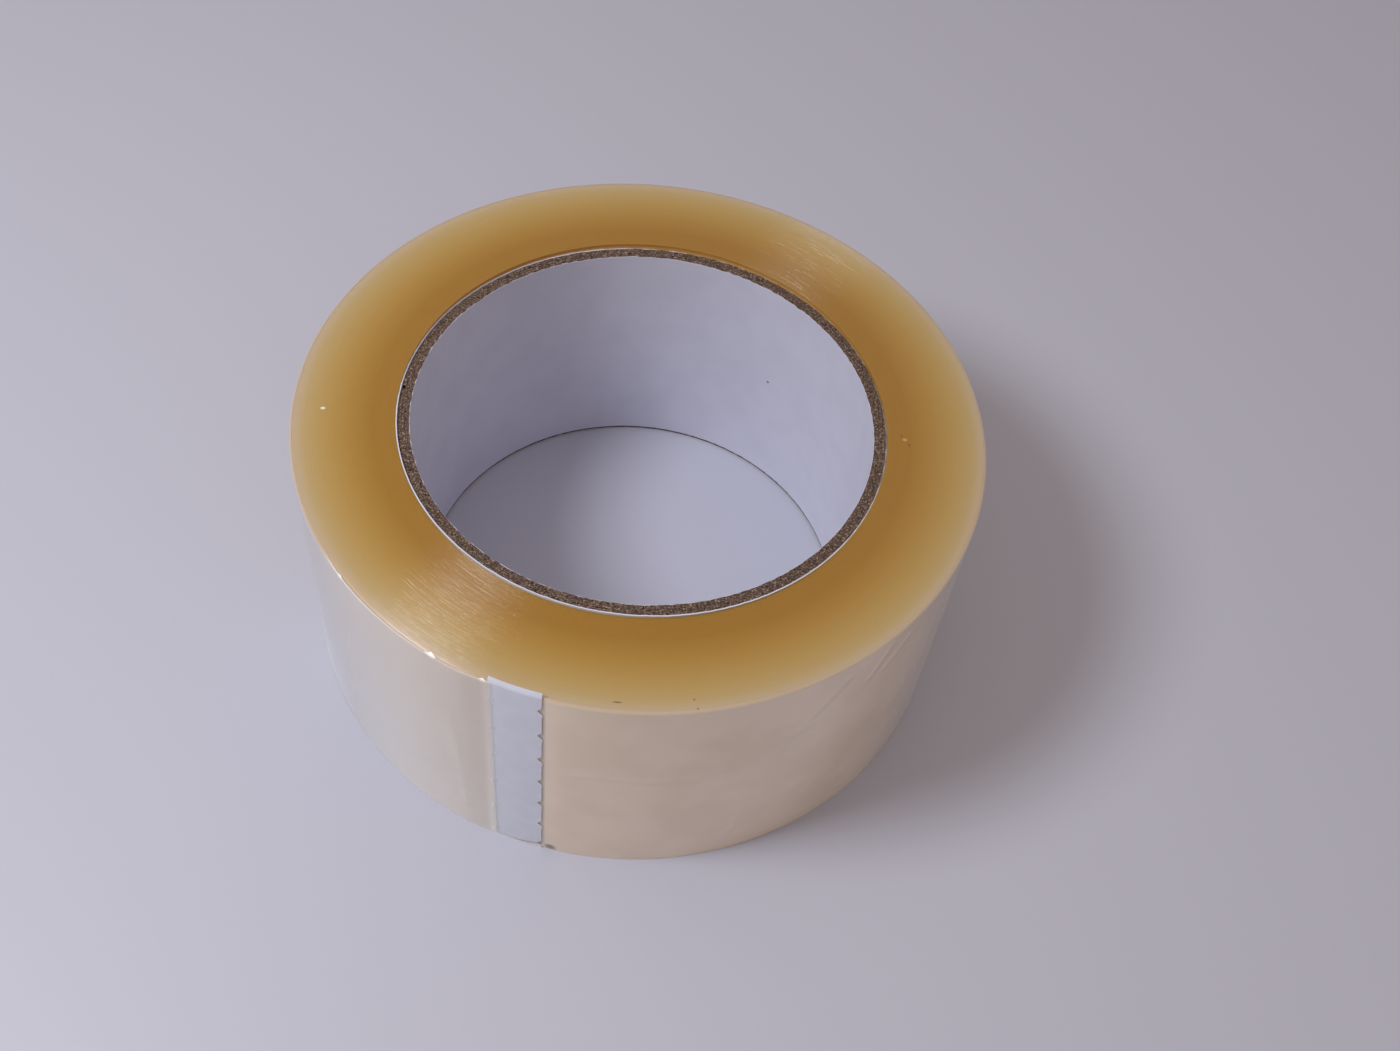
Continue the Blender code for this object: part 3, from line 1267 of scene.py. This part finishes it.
    def mark_air(self, shape: BMesh) -> None:
        """Writes the film's attributes, and gives its slit edges and its joints their own finish.

        Args:
            shape: A stretch of film.
        """
        for layer in FILM_LAYERS:
            shape.verts.layers.float.new(layer)
        air, veil, free = [shape.verts.layers.float[layer] for layer in FILM_LAYERS]
        for vert in shape.verts:
            angle = self.roll.along_film(math.atan2(vert.co.y, vert.co.x))
            vert[air] = self.air(angle)
            vert[veil] = self.veil(angle, vert.co.z)
            vert[free] = self.body.slack(angle)
        for face in shape.faces:
            outward = Vector((*face.calc_center_median().xy, 0.0)).normalized()
            tilt, turn = abs(face.normal.z), abs(face.normal.dot(outward))
            if tilt > self.slit_facing:
                face.material_index = FilmFace.SLIT.value
            elif max(tilt, turn) < self.joint_facing:
                face.material_index = FilmFace.JOINT.value


@dataclass
class StarterTab:
    """White paper strip under the film's free end, with a lip turned in over the rim."""

    roll: RollFrame
    paper: Material
    thickness: float = 0.06 * MM
    clearance: float = 0.02 * MM
    hinge_clear: float = 0.2 * MM
    fold_rise: float = 0.2 * MM
    lip: float = 0.95 * MM
    lean: float = math.radians(20.0)
    columns: int = 24
    rows: int = 120
    lip_rows: int = 3
    torn: TornEdge = TornEdge()

    def build(self) -> None:
        """Builds the tab in place of its solid."""
        roll = self.roll
        radius = roll.turn_radius + self.clearance + self.thickness
        first = roll.hinges[-1] + self.hinge_clear / radius
        fold = roll.width + self.fold_rise
        upright = self.rows / (self.rows + self.lip_rows)

        def place(along: float, up: float) -> Vector:
            """The paper's outer face.

            Args:
                along: Share of its width from the hinge.
                up: Share of its rows, the last of which are the lip's.

            Returns:
                The point there.
            """
            climb = min(1.0, up / upright)
            past = self.lip * max(0.0, up - upright) / (1 - upright)
            foot = tab_foot(along)
            level = foot + climb * (fold - foot)
            end = roll.free_end - self.torn.setback(level) / radius
            angle = first + along * (end - first)
            span = radius - past * math.sin(self.lean)
            return on_circle(span, angle, level + past * math.cos(self.lean))

        shape = bent_sheet(self.columns, self.rows + self.lip_rows, place, self.thickness)
        piece = add_piece("starter_tab_paper", shape, self.paper)
        settle(piece, "tab", "tab_paper", "starter_tab")


@dataclass
class Studio:
    """Pale table, a soft window of light from the left front, a sky with a fill at the right, a camera."""

    table: Material
    table_size: float = 4.0
    table_cells: int = 8
    table_drop: float = 0.02 * MM
    light_toward: Triple = (-0.574, -0.224, 0.788)
    light_target: Triple = (0.0, 0.0, 24.0 * MM)
    light_distance: float = 0.55
    light_size: float = 0.18
    light_power: float = 2.1
    light_colour: str = "#FAFBFF"
    sky: str = "#FFEEE3"
    horizon_strength: float = 0.06
    zenith_strength: float = 0.8
    steepness: float = 2.0
    fill_toward: Triple = (0.91, -0.41, 0.0)
    fill_strength: float = 0.34
    backdrop: str = "#B4B4BA"
    backdrop_strength: float = 1.0
    camera_place: Triple = (0.0, -168.39 * MM, 239.82 * MM)
    pitch: float = math.radians(52.612)
    yaw: float = math.radians(3.936)
    tilt: float = math.radians(7.853)
    lens: float = 39.795
    sensor: float = 36.0
    near: float = 10.0 * MM

    def build(self) -> None:
        """Sets up the table, the light, the sky, the camera and the view transform."""
        self.lay_table()
        self.hang_light()
        self.paint_sky()
        self.place_camera()
        bpy.context.scene.view_settings.view_transform = "Standard"

    def lay_table(self) -> None:
        """Lays the table just under the roll."""
        shape = bmesh.new()
        cells = self.table_cells
        bmesh.ops.create_grid(shape, x_segments=cells, y_segments=cells, size=self.table_size / 2)
        bmesh.ops.translate(shape, verts=shape.verts[:], vec=(0.0, 0.0, -self.table_drop))
        add_piece("table_top", shape, self.table)

    def hang_light(self) -> None:
        """Hangs the soft key light, facing the roll."""
        lamp = bpy.data.lights.new("window", "AREA")
        lamp.shape = "DISK"
        lamp.size = self.light_size
        lamp.energy = self.light_power
        lamp.color = linear(self.light_colour)[:3]
        light = bpy.data.objects.new("window", lamp)
        toward = Vector(self.light_toward).normalized()
        light.location = Vector(self.light_target) + toward * self.light_distance
        light.rotation_euler = toward.to_track_quat("Z", "Y").to_euler()
        bpy.context.scene.collection.objects.link(light)

    def paint_sky(self) -> None:
        """Gives soft light from all round, and a pale backdrop to what is seen or mirrored."""
        world = bpy.data.worlds.new("studio")
        world.use_nodes = True
        world.node_tree.nodes.clear()
        add = partial(add_node, world.node_tree)
        rays = add("LightPath").outputs
        shown = rays["Is Camera Ray"]
        for kind in ("Is Glossy Ray", "Is Transmission Ray"):
            shown = add("Math", {0: shown, 1: rays[kind]}, operation="MAXIMUM")
        toward = add("TexCoord").outputs["Generated"]
        climb = add("SeparateXYZ", {"Vector": toward}).outputs["Z"]
        steep = add("Math", {0: climb, 1: self.steepness}, operation="POWER")
        rise = {"Value": steep, "To Min": self.horizon_strength, "To Max": self.zenith_strength}
        strength = add("MapRange", rise)
        aside = add("VectorMath", {0: toward, 1: self.fill_toward}, operation="DOT_PRODUCT")
        fill = add("MapRange", {"Value": aside, "To Max": self.fill_strength})
        total = add("Math", {0: strength, 1: fill}, operation="ADD")
        even = add("Background", {"Color": linear(self.sky), "Strength": total})
        pale = {"Color": linear(self.backdrop), "Strength": self.backdrop_strength}
        either = add("MixShader", {0: shown, 1: even, 2: add("Background", pale)})
        add("OutputWorld", {"Surface": either})
        bpy.context.scene.world = world

    def place_camera(self) -> None:
        """Places the camera where the roll was seen from."""
        lens = bpy.data.cameras.new("camera")
        lens.lens = self.lens
        lens.sensor_width = self.sensor
        lens.clip_start = self.near
        camera = bpy.data.objects.new("camera", lens)
        place = Matrix.Translation(Vector(self.camera_place))
        for turn, axis in ((-self.yaw, "Z"), (math.pi / 2 - self.pitch, "X"), (self.tilt, "Z")):
            place = place @ Matrix.Rotation(turn, 4, axis)
        camera.matrix_world = place
        bpy.context.scene.collection.objects.link(camera)
        bpy.context.scene.camera = camera


def main() -> None:
    """Builds the roll's pieces and the studio."""
    logging.basicConfig(level=logging.INFO, format="%(message)s")
    roll = RollFrame.read()
    Core(roll, LinerPaper().make(), Chipboard().make()).build()
    body = WoundBody(roll, WoundTape(roll).make())
    body.build()
    LastTurn(roll, ClearFilm(roll).make(), CutFilm().make(), FilmJoint().make(), body).build()
    StarterTab(roll, TabPaper().make()).build()
    Studio(TableTop().make()).build()


if __name__ == "__main__":
    main()
